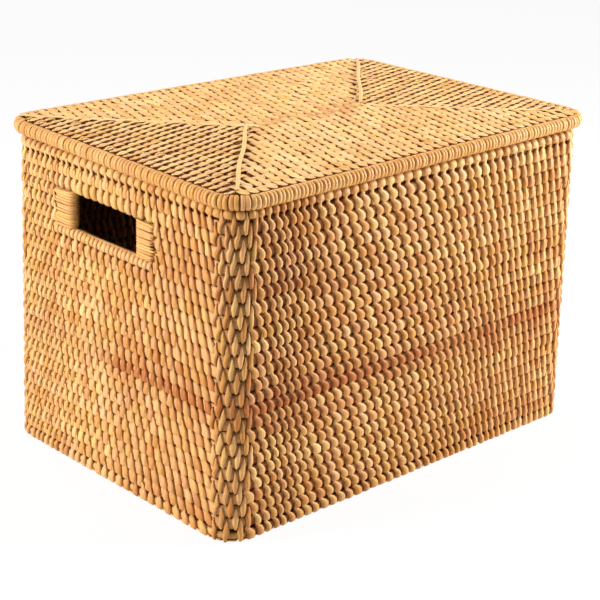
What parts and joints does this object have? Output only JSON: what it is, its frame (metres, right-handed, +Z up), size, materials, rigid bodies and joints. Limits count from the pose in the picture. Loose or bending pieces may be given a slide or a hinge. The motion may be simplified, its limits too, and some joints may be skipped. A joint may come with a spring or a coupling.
{
  "type": "woven lidded box",
  "caption": "Rectangular storage box of coiled, cane-stitched rattan with round corners, hand holes in the short walls and a loose overhanging lid that lifts straight off.",
  "frame": {"origin": "on the ground under the middle of the closed box", "axes": "+X along the long side, +Y along the short side towards the back, +Z up"},
  "size_m": [0.44, 0.31, 0.3],
  "materials": {
    "wall_rattan": "satin split cane, honey brown",
    "lid_rattan": "satin split cane, pale straw",
    "rim_cane": "satin close-wrapped cane, pale straw",
    "binding_cane": "satin wrapped cane, pale straw"
  },
  "bodies": {
    "box": {"wall_course_01": "wall_rattan", "wall_course_02": "wall_rattan", "wall_course_03": "wall_rattan", "wall_course_04": "wall_rattan", "wall_course_05": "wall_rattan", "wall_course_06": "wall_rattan", "wall_course_07": "wall_rattan", "wall_course_08": "wall_rattan", "wall_course_09": "wall_rattan", "wall_course_10": "wall_rattan", "wall_course_11": "wall_rattan", "wall_course_12": "wall_rattan", "wall_course_13": "wall_rattan", "wall_course_14": "wall_rattan", "wall_course_15": "wall_rattan", "wall_course_16": "wall_rattan", "wall_course_17": "wall_rattan", "wall_course_18": "wall_rattan", "wall_course_19": "wall_rattan", "wall_course_20": "wall_rattan", "wall_course_21_front": "wall_rattan", "wall_course_21_back": "wall_rattan", "wall_course_22_front": "wall_rattan", "wall_course_22_back": "wall_rattan", "wall_course_23_front": "wall_rattan", "wall_course_23_back": "wall_rattan", "wall_course_24": "wall_rattan", "wall_course_25": "wall_rattan", "wall_course_26": "wall_rattan", "jamb_binding_left_front": "binding_cane", "jamb_binding_left_back": "binding_cane", "jamb_binding_right_front": "binding_cane", "jamb_binding_right_back": "binding_cane", "base_panel": "wall_rattan"},
    "lid": {"lid_rim": "rim_cane", "lid_course_01": "lid_rattan", "lid_course_02": "lid_rattan", "lid_course_03": "lid_rattan", "lid_course_04": "lid_rattan", "lid_course_05": "lid_rattan", "lid_course_06": "lid_rattan", "lid_course_07": "lid_rattan", "lid_course_08": "lid_rattan", "lid_course_09": "lid_rattan", "lid_course_10": "lid_rattan", "lid_course_11": "lid_rattan", "lid_course_12": "lid_rattan", "lid_course_13": "lid_rattan", "lid_spine": "lid_rattan", "lid_locator_1": "lid_rattan", "lid_locator_2": "lid_rattan", "lid_rib_front": "binding_cane", "lid_rib_back": "binding_cane"}
  },
  "joints": [
    {"name": "lid_lift", "type": "slide", "parent": "box", "child": "lid", "axis": [0, 0, 1], "range_m": [0, 0.15]}
  ]
}
